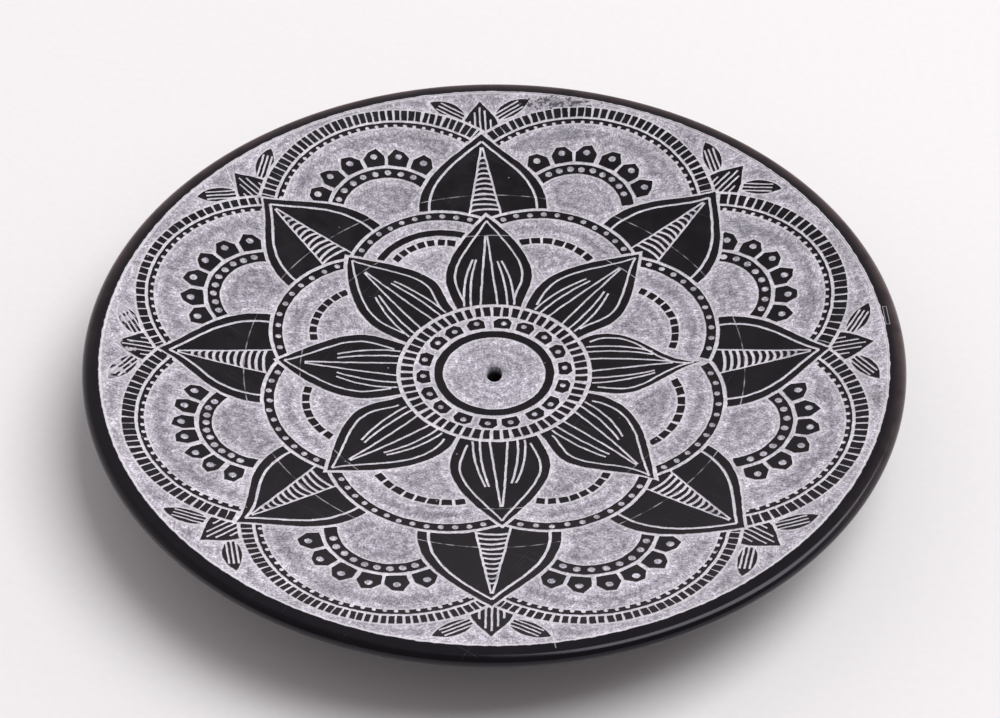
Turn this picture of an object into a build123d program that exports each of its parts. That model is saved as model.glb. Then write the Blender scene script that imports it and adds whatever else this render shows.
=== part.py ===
from build123d import *
import math
import os

# Incense stick holder: a shallow dish of stone with a black coat, cut away by hand to an eight-fold lotus.
# Millimetres, +Z up. The origin is the middle of the foot, on the surface that the dish stands on.
# The lotus is drawn in plan, as seen from above, and each mark is then cut from the coat that lines the dish.
# Pairs and rows of values go round from the petal at +X, and a pair gives the right side and then the left.

# Stone and coat
FIELD_RADIUS = 52.6
DISH_DEPTH = 6.05
LIP_WIDTH = 1.4
EDGE_RADIUS = 1.0
FLOOR_THICKNESS = 6.95
FOOT_RADIUS = 27.0
FOOT_HEIGHT = 0.4
COAT_DEPTH = 0.25
STICK_RADIUS = 1.0
STICK_CLEARANCE = 0.06
STICK_HOLE_DEPTH = 5.0

# Cut lines
CUT_WIDTH = 0.33
CLEAR_LINE = 0.6
HAND_SHIFT = 0.12
HAND_LEAN = 0.1
HAND_TURN = 1.6
SMALLEST_MARK = 0.12

# Hub
PAD_RADIUS = 6.95
PLAIN_RING_WIDTH = 1.15
PLAIN_RING_LINE = 0.7
HUB_BLOCK_COUNT = 18
HUB_BLOCK_HEIGHT = 1.75
HUB_BLOCK_GAP = 0.95
HUB_BLOCK_SHOULDER = 1.15
HUB_BLOCK_TOP = 1.35
HUB_BLOCK_START = 4.0
HUB_DOT_RADIUS = 0.42
HUB_BLOCK_LINE = 0.45
RUNG_COUNT = 57
RUNG_HEIGHT = 1.65
RUNG_GAP = 0.44
RUNG_LINE = 0.6

# Inner petals, one angle for each tip and for the valley before it
INNER_TIP_ANGLES = (1.2, 47.0, 92.3, 134.0, 178.4, 222.2, 272.1, 314.4)
INNER_VALLEY_ANGLES = (-17.0, 28.3, 72.3, 114.0, 156.0, 200.0, 249.0, 296.3)
INNER_LENGTHS = (14.5, 16.5, 16.5, 16.2, 15.9, 16.0, 16.0, 16.4)
VALLEY_GAP = 0.3
THROAT_RISE = 2.2
THROAT_GAP = 0.42
SHOULDER_RISE = 5.0
SHOULDER_GAPS = (
    (1.0, 2.2), (0.35, 1.1), (0.45, 0.8), (0.35, 0.9),
    (0.85, 0.9), (0.6, 1.7), (0.85, 0.9), (0.45, 1.5),
)
INNER_TIP_RUN = 5.4
INNER_TIP_WIDTHS = (
    (2.7, 2.7), (3.6, 4.2), (4.2, 4.0), (4.0, 4.3),
    (4.0, 4.2), (4.2, 4.0), (4.3, 4.4), (2.7, 4.3),
)
INNER_BORDERS = (0.9, 1.35, 1.35, 1.35, 1.35, 1.35, 1.35, 1.25)
INNER_BORDER_TIP = 0.75
INNER_BORDER_START = 0.9
VEIN_HALF_GAP = 1.2
VEIN_MIDDLE_RISE = 4.8
VEIN_MIDDLE_HALF_GAP = 0.8
VEIN_STOP = 3.5
VEIN_END_HALF_GAP = 0.12
HAIRPIN_LENGTH = 8.3
HAIRPIN_UNEVEN = 0.5
HAIRPIN_ROOTS = (2.5, 3.45)
HAIRPIN_MIDDLES = (2.2, 3.1)
HAIRPIN_TOPS = (1.45, 2.05)

# Beaded arches and the ladders inside them
BEAD_CREST = 31.1
BEAD_END = 28.1
BEAD_STOP = 0.7
BEAD_FIRST = 2.6
BEAD_BAND_WIDTH = 1.28
BEAD_RADIUS = 0.42
BEAD_COUNTS = (11, 11, 10, 10, 11, 13, 10, 11)
LADDER_INSET = 4.85
LADDER_HEIGHT = 1.0
LADDER_GAP = 0.36
LADDER_SPREAD = 42.0
LADDER_COUNTS = (10, 9, 9, 10, 9, 10, 9, 9)
SOLID_ARCH_GAP = 2
SOLID_ARCH_INSET = 3.05
SOLID_ARCH_WIDTH = 1.0

# Outer petals
OUTER_TIP_ANGLES = (0.6, 45.7, 92.5, 136.8, 179.5, 223.7, 269.7, 314.7)
OUTER_LENGTH = 15.65
OUTER_TIP = 45.0
OUTER_TIP_RUN = 4.0
OUTER_TIP_HALF_WIDTH = 3.7
OUTER_MIDDLE_RUN = 8.0
OUTER_MIDDLE_HALF_WIDTH = 7.05
OUTER_SHOULDER_RUN = 11.5
OUTER_HALF_WIDTH = 8.5
OUTER_BASE_HALF_WIDTH = 8.5
OUTER_WIDENINGS = (
    (0.0, -0.4), (0.6, -0.4), (0.1, 0.6), (0.2, -0.2),
    (0.2, -0.8), (-1.0, -0.2), (0.8, 0.0), (0.8, 0.2),
)
OUTER_BORDER = 1.4
OUTER_BORDER_TIP = 1.3
OUTER_BORDER_LINE = 0.4
OUTER_LINE = 0.55
MIDRIB_HALF_WIDTH = 2.4
MIDRIB_STOP = 2.4
MIDRIB_END_HALF_WIDTH = 0.1
MIDRIB_RUNG_START = 1.5
MIDRIB_RUNG_PITCH = 0.95
MIDRIB_RUNG_COUNT = 11
MIDRIB_RUNG_WIDTH = 0.42
MIDRIB_RUNG_BOW = 0.3

# Beaded fans with dotted lobes, each with its own place in its gap
FAN_RISES = (1.2, 1.6, 2.1, 2.3, 1.5, 2.1, 1.9, 1.9)
FAN_SHIFTS = (0.1, 0.3, 1.1, 0.0, -0.1, 0.0, -0.45, 0.9)
FAN_BAND_RADIUS = 7.6
FAN_BAND_WIDTH = 1.65
FAN_BAND_SPREAD = 66.0
FAN_BEAD_RADIUS = 0.5
FAN_BEAD_SPREAD = 49.0
FAN_BEAD_COUNTS = (8, 9, 8, 9, 10, 9, 8, 8)
FAN_LINE = 0.65
LOBE_COUNTS = (6, 6, 6, 6, 7, 6, 6, 6)
LOBE_SPREAD = 50.0
LOBE_GAP = 0.6
LOBE_HEIGHT = 2.8
LOBE_SHOULDER = 1.6
LOBE_TOP = 1.25
LOBE_LEAN = 0.3
LOBE_DOT_RADIUS = 0.52
LOBE_DOT_RISE = 1.65

# Rope arches
ROPE_RISES = (-0.2, 0.7, 0.7, 0.85, 0.0, 0.6, 0.45, 0.4)
ROPE_RADIUS = 18.2
ROPE_HEIGHTS = (1.75, 1.6, 1.75, 1.15, 1.65, 1.4, 1.25, 1.65)
ROPE_COUNTS = (33, 37, 41, 32, 37, 43, 38, 36)
ROPE_GAP = 0.29
ROPE_SPREAD = 62.0
ROPE_LINE = 0.45
DASH_HEIGHT = 0.75
DASH_COUNT = 28
DASH_DOT_RADIUS = 0.3
DASH_DOT_RISE = 0.2
DASH_UNEVEN = 0.06

# Sprigs
SPRIG_LINE = 0.5
LEAF_LENGTH = 5.9
LEAF_FOOT_HALF_WIDTH = 2.4
LEAF_WIDEST_RISE = 2.0
LEAF_HALF_WIDTH = 2.5
LEAF_UPPER_RISE = 4.0
LEAF_UPPER_HALF_WIDTH = 1.4
LEAF_VEIN_OFFSETS = (-1.5, -0.7, 0.05, 0.8, 1.55)
LEAF_VEIN_TOPS = (2.6, 4.3, 4.9, 4.0, 2.4)
LEAF_VEIN_WIDTH = 0.3
SIDE_LEAF_RISE = 2.5
SIDE_LEAF_FOOT = 1.9
SIDE_LEAF_REACH = 5.9
SIDE_LEAF_SPREAD = 7.2
SIDE_LEAF_UPPER_BULGE = 1.4
SIDE_LEAF_LOWER_BULGE = 1.0
SIDE_LEAF_VEIN_OFFSETS = (-0.5, 0.12, 0.74)
SIDE_LEAF_VEIN_LENGTH = 5.0

# Places that follow from the sizes
PETALS = range(len(INNER_TIP_ANGLES))
RIM_TOP = FLOOR_THICKNESS + DISH_DEPTH
LIP_OUTER = FIELD_RADIUS + LIP_WIDTH
EDGE_HEIGHT = RIM_TOP - EDGE_RADIUS
DISH_RADIUS = (FIELD_RADIUS**2 + DISH_DEPTH**2) / (2 * DISH_DEPTH)
DISH_CENTRE = FLOOR_THICKNESS + DISH_RADIUS
HUB_BLOCK_START_RADIUS = PAD_RADIUS + PLAIN_RING_WIDTH + PLAIN_RING_LINE
RUNG_START_RADIUS = HUB_BLOCK_START_RADIUS + HUB_BLOCK_HEIGHT + HUB_BLOCK_LINE
HUB_RADIUS = RUNG_START_RADIUS + RUNG_HEIGHT + RUNG_LINE
OUTER_BASE = OUTER_TIP - OUTER_LENGTH
LOBE_BASE = FAN_BAND_RADIUS + FAN_BAND_WIDTH / 2 + FAN_LINE
DASH_BASE = ROPE_RADIUS - ROPE_LINE - DASH_HEIGHT


def sphere_height(centre, radius, distance):
    """Height of the lower half of a sphere on the axis, at a distance from the axis."""
    return centre - math.sqrt(radius**2 - distance**2)


def waver(seed):
    """A steady value from -1 to 1 for the unevenness of one hand-cut mark."""
    value = math.sin(seed * 78.233 + 1.7) * 43758.5453
    return 2 * (value - math.floor(value)) - 1


def polar(radius, degrees, centre=(0.0, 0.0)):
    """Plan point at a radius and an angle round a centre."""
    turn = math.radians(degrees)
    return (centre[0] + radius * math.cos(turn), centre[1] + radius * math.sin(turn))


def on_ray(along, across, degrees):
    """Plan point along a ray from the middle, and across it to the left."""
    turn = math.radians(degrees)
    x = along * math.cos(turn) - across * math.sin(turn)
    y = along * math.sin(turn) + across * math.cos(turn)
    return (x, y)


def following(angles, index):
    """The angle after one in a ring of angles, counted on past a full turn."""
    step = index + 1
    return angles[step % len(angles)] + 360 * (step // len(angles))


def halfway(angles, index):
    """The angle halfway between one in a ring of angles and the one after it."""
    return (angles[index] + following(angles, index)) / 2


def stroke(points, width):
    """The plan of one cut along a smooth line."""
    return trace(Spline(*points), width)


def spread(count, reach):
    """Evenly spaced angles from minus the reach to plus the reach."""
    return [reach * (2 * step / (count - 1) - 1) for step in range(count)]


def closed_outline(right, left):
    """A pointed petal between two sides that both run from the base to the tip."""
    sides = [Spline(*right), Spline(*reversed(left))]
    return make_face([*sides, Line(left[0], right[0])])


def block(centre, degrees, inner, height, length, lean=0.0):
    """A four-cornered mark on a circle, its top moved along by a small lean."""
    half = math.degrees(length / 2 / (inner + height / 2))
    turn = degrees + math.degrees(lean / (inner + height))
    low = [polar(inner, degrees + side * half, centre) for side in (-1, 1)]
    high = [polar(inner + height, turn + side * half, centre) for side in (1, -1)]
    return make_face(Polyline(*low, *high, close=True))


def lobe(centre, degrees, pitch, gap, inner, height, shoulder, top, lean):
    """A mark with cut corners and a leaning top, standing on a circle with a gap to the marks beside it."""
    base = pitch / 2 - math.degrees(gap / 2 / inner)
    upper = pitch / 2 - math.degrees(gap / 2 / (inner + shoulder))
    points = []
    for side in (1, -1):
        crest = inner + height + side * lean
        spots = [(inner, base), (inner + shoulder, upper), (crest, math.degrees(top / 2 / crest))]
        points += [polar(radius, degrees + side * turn, centre) for radius, turn in spots[::side]]
    return make_face(Polyline(*points, close=True))


def dot(radius, degrees, size, centre=(0.0, 0.0)):
    """A drilled dot on a circle."""
    return Pos(*polar(radius, degrees, centre)) * Circle(size)


def disc(centre, radius):
    """A full disc in plan."""
    return Pos(*centre) * Circle(radius)


def arch_band(centre, radius, width, middle, reach):
    """A curved band of even width, to both sides of a middle angle."""
    line = CenterArc((*centre, 0), radius, middle - reach, 2 * reach)
    return trace(line, width)


def underside():
    """Centre height and radius of the sphere under the dish: through the foot, tangent to the edge."""
    rise = EDGE_HEIGHT - FOOT_HEIGHT
    excess = FOOT_RADIUS**2 + EDGE_RADIUS**2 - LIP_OUTER**2 - rise**2
    square = rise**2 - EDGE_RADIUS**2
    root = math.sqrt(excess**2 + 4 * FOOT_RADIUS**2 * square)
    centre = (EDGE_RADIUS * root - excess * rise) / (2 * square)
    return FOOT_HEIGHT + centre, math.hypot(FOOT_RADIUS, centre)


def outside_profile(inset):
    """The underside, the round edge and the lip, from the foot up to the field, moved in by an inset."""
    centre, radius = underside()
    radius -= inset
    start = math.degrees(math.atan2(sphere_height(centre, radius, FOOT_RADIUS) - centre, FOOT_RADIUS))
    tangent = math.degrees(math.atan2(EDGE_HEIGHT - centre, LIP_OUTER))
    belly = CenterArc((0, centre), radius, start, tangent - start)
    edge = CenterArc((LIP_OUTER, EDGE_HEIGHT), EDGE_RADIUS - inset, tangent, 90 - tangent)
    lip = Line(edge @ 1, (FIELD_RADIUS, RIM_TOP - inset))
    return [belly, edge, lip]


def dish_line(radius):
    """Half of the dish's section, from the edge of the field to the axis."""
    edge = (FIELD_RADIUS, sphere_height(DISH_CENTRE, radius, FIELD_RADIUS))
    turn = math.degrees(math.atan2(edge[1] - DISH_CENTRE, FIELD_RADIUS))
    return CenterArc((0, DISH_CENTRE), radius, turn, -90 - turn)


def turned(edges):
    """A solid turned round the axis from a closed half section."""
    return revolve(Plane.XZ * make_face(edges), Axis.Z)


FLOOR_SPHERE = DISH_RADIUS + COAT_DEPTH
COAT_INSET = RIM_TOP - sphere_height(DISH_CENTRE, FLOOR_SPHERE, FIELD_RADIUS)


def stone_disc():
    """The stone under the coat, with its bare foot and the hole for the stick."""
    skin = outside_profile(COAT_INSET)
    floor = dish_line(FLOOR_SPHERE)
    foot = [Line((0, 0), (FOOT_RADIUS, 0)), Line((FOOT_RADIUS, 0), skin[0] @ 0)]
    body = turned([*foot, *skin, floor, Line(floor @ 1, (0, 0))])
    mouth = DISH_CENTRE - FLOOR_SPHERE
    hole = Cylinder(STICK_RADIUS + STICK_CLEARANCE, 2 * STICK_HOLE_DEPTH)
    return body - Pos(0, 0, mouth) * hole


def rim_coat():
    """The coat on the lip, the edge and the underside, out to the foot."""
    outer = outside_profile(0)
    inner = outside_profile(COAT_INSET)
    ends = [Line(outer[-1] @ 1, inner[-1] @ 1), Line(inner[0] @ 0, outer[0] @ 0)]
    return turned([*outer, *inner, *ends])


def coat_lining():
    """The coat of the whole dish before it is cut."""
    top = dish_line(DISH_RADIUS)
    floor = dish_line(FLOOR_SPHERE)
    return turned([top, Line(top @ 1, floor @ 1), floor, Line(floor @ 0, top @ 0)])


def hub_ring():
    """The plain ring round the middle."""
    return Circle(PAD_RADIUS + PLAIN_RING_WIDTH) - Circle(PAD_RADIUS)


def hub_blocks():
    """The ring of dotted blocks."""
    marks = []
    inner = HUB_BLOCK_START_RADIUS
    pitch = 360 / HUB_BLOCK_COUNT
    for step in range(HUB_BLOCK_COUNT):
        angle = HUB_BLOCK_START + pitch * step + HAND_TURN * waver(step)
        sizes = (HUB_BLOCK_GAP, inner, HUB_BLOCK_HEIGHT, HUB_BLOCK_SHOULDER, HUB_BLOCK_TOP)
        mark = lobe((0, 0), angle, pitch, *sizes, HAND_LEAN * waver(step + 0.7))
        middle = inner + HUB_BLOCK_HEIGHT / 2 + HAND_SHIFT * waver(step + 0.5)
        marks.append(mark - dot(middle, angle + HAND_TURN * waver(step + 0.3), HUB_DOT_RADIUS))
    return marks


def row_of_blocks(centre, middle, angles, inner, height, gap, seed):
    """Blocks at evenly spaced angles on a circle, each a little uneven."""
    pitch = math.radians(angles[1] - angles[0])
    length = pitch * (inner + height / 2) - gap
    marks = []
    for step, angle in enumerate(angles):
        uneven = length + HAND_SHIFT * waver(seed + step + 0.2)
        lean = HAND_LEAN * waver(seed + step)
        marks.append(block(centre, middle + angle, inner, height, uneven, lean))
    return marks


def hub_rungs():
    """The ring of short rungs."""
    angles = [360 / RUNG_COUNT * step for step in range(RUNG_COUNT)]
    return row_of_blocks((0, 0), 0, angles, RUNG_START_RADIUS, RUNG_HEIGHT, RUNG_GAP, 0)


def inner_tip(index):
    """Distance of an inner petal's tip from the middle."""
    return HUB_RADIUS + INNER_LENGTHS[index]


def inner_side(index, side, grow, tip_grow, start=0.0):
    """One side of an inner petal from its base to its tip, moved out by a distance."""
    valley = INNER_VALLEY_ANGLES[index] if side < 0 else following(INNER_VALLEY_ANGLES, index)
    angle = INNER_TIP_ANGLES[index]
    shoulder_gap = SHOULDER_GAPS[index][side > 0]
    width = INNER_TIP_WIDTHS[index][side > 0]
    points = []
    for rise, gap in ((start, VALLEY_GAP), (THROAT_RISE, THROAT_GAP), (SHOULDER_RISE, shoulder_gap)):
        points.append(on_ray(HUB_RADIUS + rise, -side * (gap - grow), valley))
    points.append(on_ray(inner_tip(index) - INNER_TIP_RUN, side * (width + grow), angle))
    points.append(polar(inner_tip(index) + tip_grow, angle))
    return points


def inner_outline(index, grow=0.0):
    """The whole outline of an inner petal."""
    tip_grow = grow * 2 * INNER_TIP_RUN / sum(INNER_TIP_WIDTHS[index])
    sides = [inner_side(index, side, grow, tip_grow) for side in (-1, 1)]
    return closed_outline(*sides) - Circle(HUB_RADIUS)


def vein(index, side, low, middle, top, reach, shift=0.0):
    """One cut from the base of an inner petal, past its middle, to a distance from its base."""
    root = halfway(INNER_VALLEY_ANGLES, index)
    lean = (INNER_TIP_ANGLES[index] - root) / INNER_LENGTHS[index]
    points = [on_ray(HUB_RADIUS - CUT_WIDTH, side * low, root)]
    for rise, across in ((VEIN_MIDDLE_RISE, middle), (reach, top)):
        points.append(on_ray(HUB_RADIUS + rise, side * across + shift, root + lean * rise))
    return stroke(points, CUT_WIDTH)


def inner_petal(index):
    """An inner petal, cut by its border line, its two middle veins and a hairpin to each side."""
    cuts = []
    for side in (-1, 1):
        border = inner_side(index, side, -INNER_BORDERS[index], -INNER_BORDER_TIP, INNER_BORDER_START)
        cuts.append(stroke(border, CUT_WIDTH))
        reach = INNER_LENGTHS[index] - VEIN_STOP
        cuts.append(vein(index, side, VEIN_HALF_GAP, VEIN_MIDDLE_HALF_GAP, VEIN_END_HALF_GAP, reach))
        reach = HAIRPIN_LENGTH + HAIRPIN_UNEVEN * waver(index + side / 4)
        for low, middle, top in zip(HAIRPIN_ROOTS, HAIRPIN_MIDDLES, HAIRPIN_TOPS):
            shift = HAND_SHIFT * waver(index + low + side)
            cuts.append(vein(index, side, low, middle, top, reach, shift))
    return inner_outline(index) - cuts


def bead_circle(index):
    """Middle angle, centre, radius and opening of the beaded arch after an inner petal."""
    middle = halfway(INNER_TIP_ANGLES, index)
    reach = math.radians(following(INNER_TIP_ANGLES, index) - middle)
    half_chord = BEAD_END * math.sin(reach)
    sagitta = BEAD_CREST - BEAD_END * math.cos(reach)
    radius = (half_chord**2 + sagitta**2) / (2 * sagitta)
    opening = math.degrees(math.atan2(half_chord, radius - sagitta))
    return middle, polar(BEAD_CREST - radius, middle), radius, opening


def petals_beside(outline, index):
    """The outlines, with a clear line round them, of the two petals beside a gap."""
    return [outline(index, CLEAR_LINE), outline((index + 1) % len(PETALS), CLEAR_LINE)]


def trimmed(marks, cutters):
    """Marks with the cutters taken away, without scraps that no tool would leave standing."""
    left = Sketch(Compound([face for mark in marks for face in mark.faces()]).wrapped) - cutters
    return [face for face in left.faces() if face.area > SMALLEST_MARK]


def uneven_dots(centre, middle, angles, radius, size, uneven, seed):
    """Drilled dots at angles on a circle, each a little off it."""
    dots = []
    for step, angle in enumerate(angles):
        dots.append(dot(radius + uneven * waver(seed + step), middle + angle, size, centre))
    return dots


def bead_arc(index):
    """A beaded arch from one inner tip to the next."""
    middle, centre, radius, opening = bead_circle(index)
    reach = opening - math.degrees(BEAD_STOP / radius)
    band = arch_band(centre, radius, BEAD_BAND_WIDTH, middle, reach)
    angles = spread(BEAD_COUNTS[index], opening - math.degrees(BEAD_FIRST / radius))
    beads = uneven_dots(centre, middle, angles, radius, BEAD_RADIUS, HAND_SHIFT, 13 * index)
    return (band - petals_beside(inner_outline, index) - beads).faces()


def ladder_arc(index):
    """The row of dashes inside a beaded arch, with a plain arch over it in one of the gaps."""
    middle, centre, radius, opening = bead_circle(index)
    base = radius - LADDER_INSET - LADDER_HEIGHT / 2
    angles = spread(LADDER_COUNTS[index], LADDER_SPREAD)
    marks = row_of_blocks(centre, middle, angles, base, LADDER_HEIGHT, LADDER_GAP, 7 * index)
    if index == SOLID_ARCH_GAP:
        marks.append(arch_band(centre, radius - SOLID_ARCH_INSET, SOLID_ARCH_WIDTH, middle, opening))
    return trimmed(marks, petals_beside(inner_outline, index))


def outer_side(index, side, grow, tip_grow):
    """One side of an outer petal from its base to its tip, moved out by a distance."""
    angle = OUTER_TIP_ANGLES[index]
    grow += OUTER_WIDENINGS[index][side > 0]
    spots = [(OUTER_LENGTH, OUTER_BASE_HALF_WIDTH), (OUTER_SHOULDER_RUN, OUTER_HALF_WIDTH)]
    spots += [(OUTER_MIDDLE_RUN, OUTER_MIDDLE_HALF_WIDTH), (OUTER_TIP_RUN, OUTER_TIP_HALF_WIDTH)]
    points = [on_ray(OUTER_TIP - run, side * (width + grow), angle) for run, width in spots]
    return [*points, polar(OUTER_TIP + tip_grow, angle)]


def outer_outline(index, grow=0.0):
    """The whole outline of an outer petal, before the arches in front of it are taken away."""
    tip_grow = grow * OUTER_TIP_RUN / OUTER_TIP_HALF_WIDTH
    return closed_outline(*[outer_side(index, side, grow, tip_grow) for side in (-1, 1)])


def midrib_cuts(index):
    """The two lines and the rungs of an outer petal's midrib."""
    angle = OUTER_TIP_ANGLES[index]
    start = OUTER_BASE
    end = OUTER_TIP - MIDRIB_STOP
    cuts = []
    for side in (-1, 1):
        foot = on_ray(start, side * MIDRIB_HALF_WIDTH, angle)
        cuts.append(trace(Line(foot, on_ray(end, side * MIDRIB_END_HALF_WIDTH, angle)), CUT_WIDTH))
    for step in range(MIDRIB_RUNG_COUNT):
        along = start + MIDRIB_RUNG_START + MIDRIB_RUNG_PITCH * step
        share = (end - along) / (end - start)
        half = MIDRIB_END_HALF_WIDTH + share * (MIDRIB_HALF_WIDTH - MIDRIB_END_HALF_WIDTH)
        lean = HAND_SHIFT * waver(step + 17 * index)
        ends = [on_ray(along + side * lean, side * half, angle) for side in (-1, 1)]
        rung = ThreePointArc(ends[0], polar(along + MIDRIB_RUNG_BOW, angle), ends[1])
        cuts.append(trace(rung, MIDRIB_RUNG_WIDTH))
    return cuts


def outer_petal(index):
    """An outer petal behind the arches, cut by its border line and its midrib."""
    before = (index - 1) % len(PETALS)
    front = [inner_outline(index, CLEAR_LINE)]
    for gap in (before, index):
        middle, centre, radius, opening = bead_circle(gap)
        front.append(disc(centre, radius + BEAD_BAND_WIDTH / 2 + OUTER_LINE))
    cuts = midrib_cuts(index)
    for side in (-1, 1):
        cuts.append(stroke(outer_side(index, side, -OUTER_BORDER, -OUTER_BORDER_TIP), OUTER_BORDER_LINE))
    return trimmed([outer_outline(index)], [*front, *cuts])


def gap_place(index, rise, shift=0.0):
    """Middle angle of the gap after an outer petal, and a centre in it above the beaded arch's crest."""
    middle = halfway(OUTER_TIP_ANGLES, index)
    return middle, on_ray(BEAD_CREST + rise, shift, middle)


def scallop(index):
    """A beaded fan with its dotted lobes."""
    middle, centre = gap_place(index, FAN_RISES[index], FAN_SHIFTS[index])
    angles = spread(FAN_BEAD_COUNTS[index], FAN_BEAD_SPREAD)
    beads = uneven_dots(centre, middle, angles, FAN_BAND_RADIUS, FAN_BEAD_RADIUS, HAND_SHIFT, 11 * index)
    marks = [arch_band(centre, FAN_BAND_RADIUS, FAN_BAND_WIDTH, middle, FAN_BAND_SPREAD) - beads]
    angles = spread(LOBE_COUNTS[index], LOBE_SPREAD)
    pitch = angles[1] - angles[0]
    for step, angle in enumerate(angles):
        turn = middle + angle + math.degrees(HAND_SHIFT / LOBE_BASE) * waver(19 * index + step)
        height = LOBE_HEIGHT + HAND_SHIFT * waver(3 * index + step)
        sizes = (LOBE_GAP, LOBE_BASE, height, LOBE_SHOULDER, LOBE_TOP)
        mark = lobe(centre, turn, pitch, *sizes, LOBE_LEAN * waver(5 * index + 3 * step))
        marks.append(mark - dot(LOBE_BASE + LOBE_DOT_RISE, turn, LOBE_DOT_RADIUS, centre))
    return trimmed(marks, petals_beside(outer_outline, index))


def rope_arc(index):
    """An outermost arch: a row of blocks, and a narrow band bitten by dots inside it."""
    middle, centre = gap_place(index, ROPE_RISES[index])
    angles = spread(ROPE_COUNTS[index], ROPE_SPREAD)
    marks = row_of_blocks(centre, middle, angles, ROPE_RADIUS, ROPE_HEIGHTS[index], ROPE_GAP, 23 * index)
    band = arch_band(centre, DASH_BASE + DASH_HEIGHT / 2, DASH_HEIGHT, middle, ROPE_SPREAD)
    angles = spread(DASH_COUNT, ROPE_SPREAD)
    line = DASH_BASE + DASH_DOT_RISE
    marks.append(band - uneven_dots(centre, middle, angles, line, DASH_DOT_RADIUS, DASH_UNEVEN, 29 * index))
    return trimmed(marks, petals_beside(outer_outline, index))


def middle_leaf(index, grow=0.0):
    """The outline of the upright leaf of a sprig."""
    angle = OUTER_TIP_ANGLES[index]
    spots = [(0, LEAF_FOOT_HALF_WIDTH), (LEAF_WIDEST_RISE, LEAF_HALF_WIDTH)]
    spots.append((LEAF_UPPER_RISE, LEAF_UPPER_HALF_WIDTH))
    sides = []
    for side in (-1, 1):
        points = [on_ray(OUTER_TIP + rise, side * (width + grow), angle) for rise, width in spots]
        sides.append([*points, polar(OUTER_TIP + LEAF_LENGTH + grow, angle)])
    return closed_outline(*sides)


def leaf_veins(index):
    """The upright cuts in the middle leaf of a sprig."""
    angle = OUTER_TIP_ANGLES[index]
    cuts = []
    for offset, top in zip(LEAF_VEIN_OFFSETS, LEAF_VEIN_TOPS):
        line = Line(on_ray(OUTER_TIP, offset, angle), on_ray(OUTER_TIP + top, offset, angle))
        cuts.append(trace(line, LEAF_VEIN_WIDTH))
    return cuts


def side_leaf(index, side):
    """A slanting leaf of a sprig, with its veins cut."""
    angle = OUTER_TIP_ANGLES[index]
    foot = Vector(*on_ray(OUTER_TIP + SIDE_LEAF_RISE, side * SIDE_LEAF_FOOT, angle))
    tip = Vector(*on_ray(OUTER_TIP + SIDE_LEAF_REACH, side * SIDE_LEAF_SPREAD, angle))
    along = (tip - foot).normalized()
    up = along.rotate(Axis.Z, -90 * side)
    upper = (foot + tip) / 2 + up * SIDE_LEAF_UPPER_BULGE
    lower = (foot + tip) / 2 - up * SIDE_LEAF_LOWER_BULGE
    leaf = make_face([ThreePointArc(foot, upper, tip), ThreePointArc(tip, lower, foot)])
    veins = []
    for offset in SIDE_LEAF_VEIN_OFFSETS:
        start = foot + up * offset
        veins.append(trace(Line(start, start + along * SIDE_LEAF_VEIN_LENGTH), LEAF_VEIN_WIDTH))
    return leaf - veins


def sprig(index):
    """The three leaves beyond an outer tip, standing clear of the rope arches."""
    clear = [outer_outline(index, CLEAR_LINE)]
    for gap in ((index - 1) % len(PETALS), index):
        centre = gap_place(gap, ROPE_RISES[gap])[1]
        clear.append(disc(centre, ROPE_RADIUS + ROPE_HEIGHTS[gap] + SPRIG_LINE))
    leaf = trimmed([middle_leaf(index)], [*clear, *leaf_veins(index)])
    wings = [side_leaf(index, side) for side in (-1, 1)]
    return leaf + trimmed(wings, [*clear, middle_leaf(index, SPRIG_LINE)])


def cut_from(lining, marks):
    """The pieces of coat that stand over marks in plan."""
    pieces = []
    for mark in marks:
        for face in mark.faces():
            pieces += (Solid.extrude(face, Vector(0, 0, RIM_TOP)) & lining).solids()
    return Compound(pieces)


def main():
    """Builds every piece and writes it to its own file."""
    os.makedirs("parts", exist_ok=True)
    lining = coat_lining()
    pieces = {"stone_disc": stone_disc(), "rim_coat": rim_coat()}
    rings = {"hub_ring": hub_ring().faces(), "hub_blocks": hub_blocks(), "hub_rungs": hub_rungs()}
    for name, faces in rings.items():
        pieces[name] = cut_from(lining, faces)
    makers = {"ladder_arc": ladder_arc, "bead_arc": bead_arc, "outer_petal": outer_petal}
    makers |= {"scallop": scallop, "rope_arc": rope_arc}
    for index in PETALS:
        pieces[f"inner_petal_{index + 1}"] = cut_from(lining, inner_petal(index).faces())
        for name, maker in makers.items():
            pieces[f"{name}_{index + 1}"] = cut_from(lining, maker(index))
    pieces["sprigs"] = cut_from(lining, [leaf for index in PETALS for leaf in sprig(index)])
    for name, piece in pieces.items():
        export_step(piece, f"parts/{name}.step")


main()
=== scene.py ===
"""Dresses the stone incense holder: cut stone, a black coat cut to a lotus, a polished rim."""

import logging
import math
from dataclasses import dataclass, field
from enum import Enum
from typing import NamedTuple

import bmesh
import bpy
import numpy as np
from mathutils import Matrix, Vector
from mathutils.kdtree import KDTree


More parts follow.
